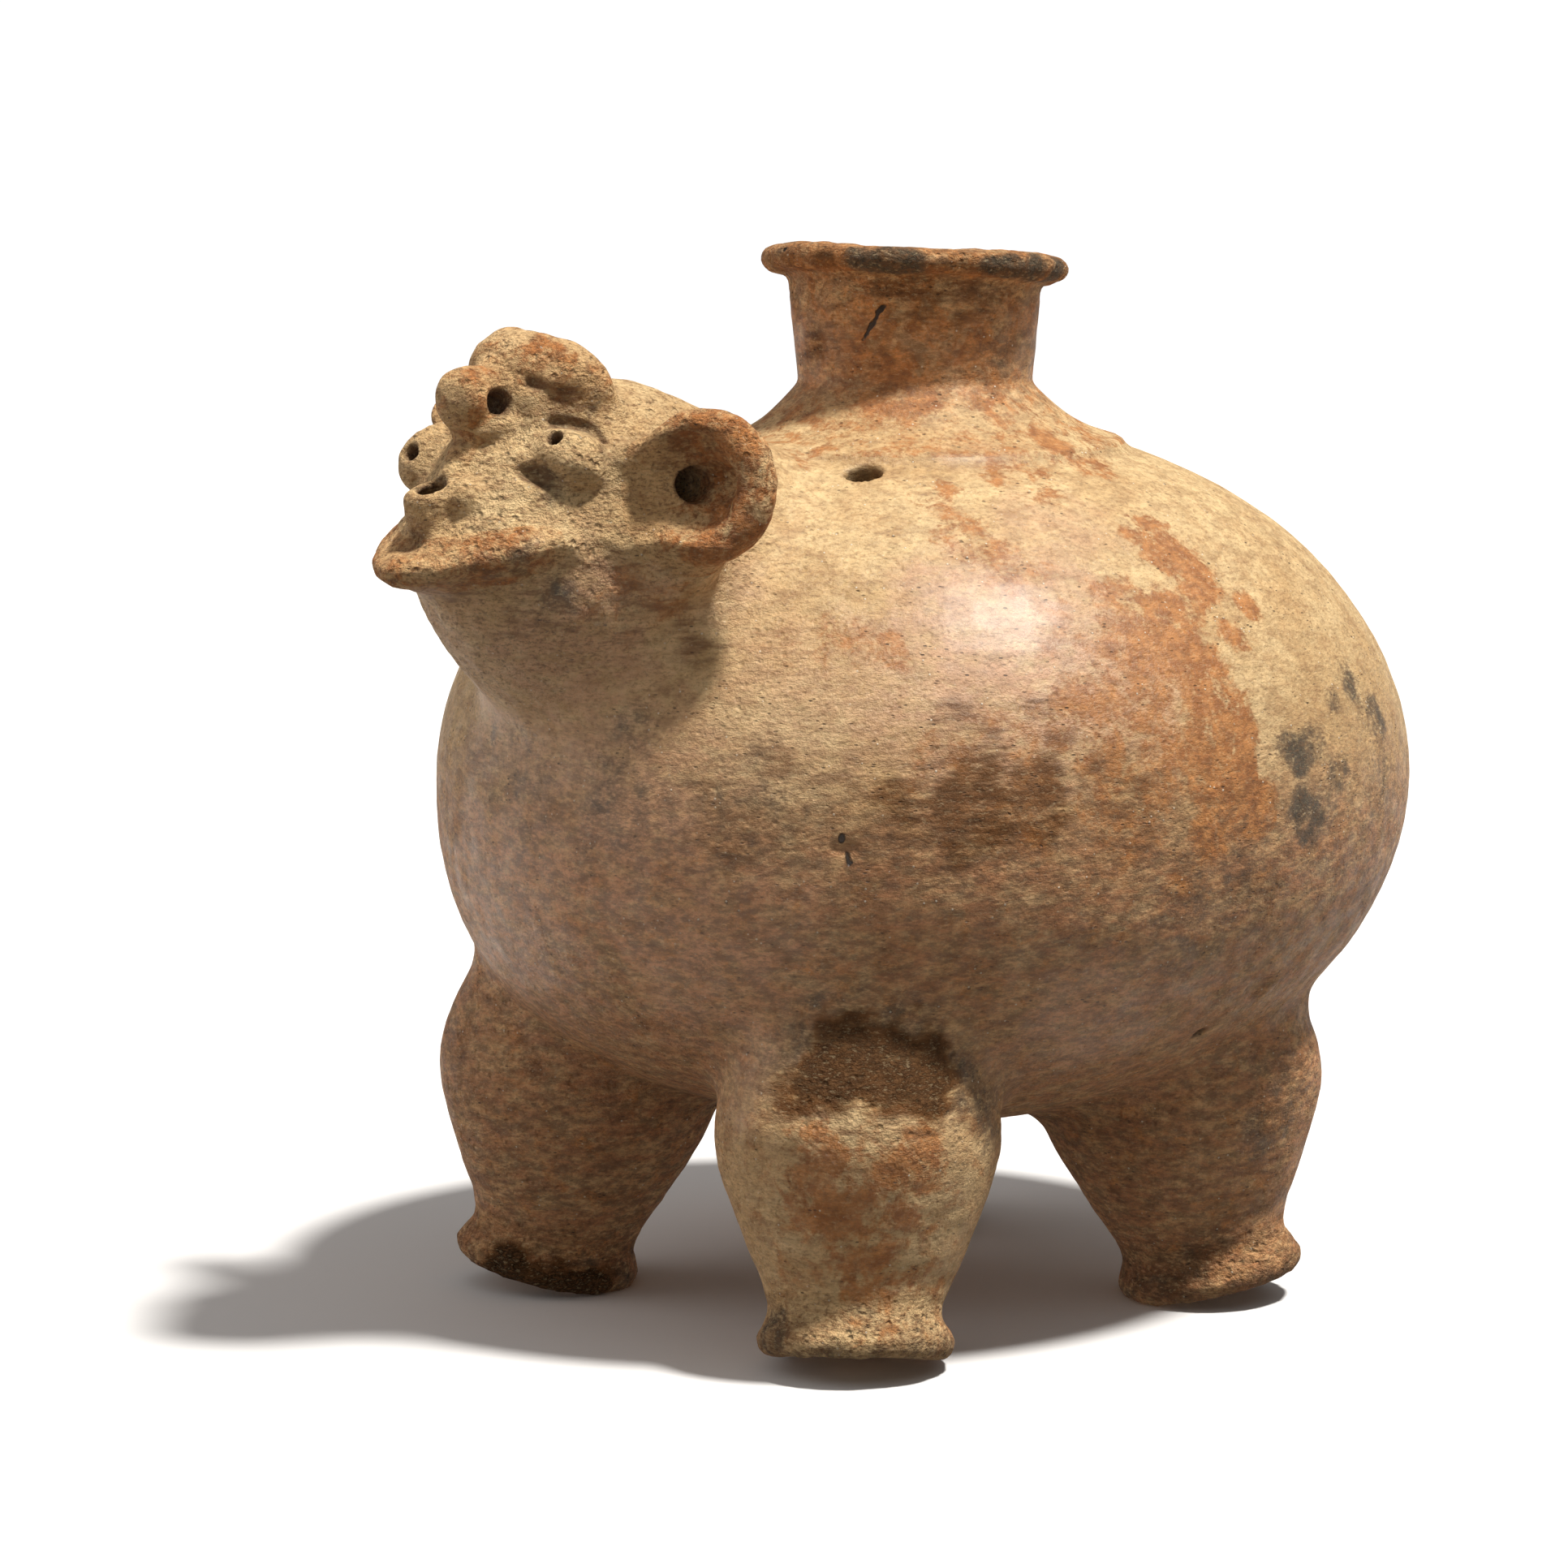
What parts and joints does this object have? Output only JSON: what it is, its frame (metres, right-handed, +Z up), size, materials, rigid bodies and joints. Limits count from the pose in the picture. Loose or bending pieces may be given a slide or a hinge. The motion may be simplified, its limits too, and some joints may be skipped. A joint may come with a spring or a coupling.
{
  "type": "four-legged effigy vessel",
  "caption": "Hand-built clay jar in the shape of a stout animal, with a round hollow body, collared mouth, big-eared head and bulbous hollow legs on flared feet.",
  "frame": {"origin": "on the floor, under the middle of the jar's footprint box", "axes": "+Z up, -Y towards the animal's face, +X towards the animal's left side"},
  "size_m": [0.23, 0.2872, 0.2589],
  "materials": {
    "buff_clay": "hand-burnished buff earthenware",
    "slip_clay": "worn red-brown slip over sandy clay",
    "sooted_clay": "smoke-clouded sandy clay"
  },
  "bodies": {
    "root": {"body_shell": "buff_clay", "neck_collar": "buff_clay", "rim_lip": "sooted_clay", "head_shell": "buff_clay", "crest": "slip_clay", "nose": "slip_clay", "mouth_spout": "buff_clay", "jaw_ledge": "slip_clay", "ear_left": "slip_clay", "ear_right": "slip_clay", "eye_left": "buff_clay", "eye_right": "buff_clay", "leg_front_left": "buff_clay", "leg_front_right": "buff_clay", "leg_rear_left": "buff_clay", "leg_rear_right": "buff_clay", "foot_front_left": "sooted_clay", "foot_front_right": "sooted_clay", "foot_rear_left": "sooted_clay", "foot_rear_right": "sooted_clay"}
  },
  "joints": []
}
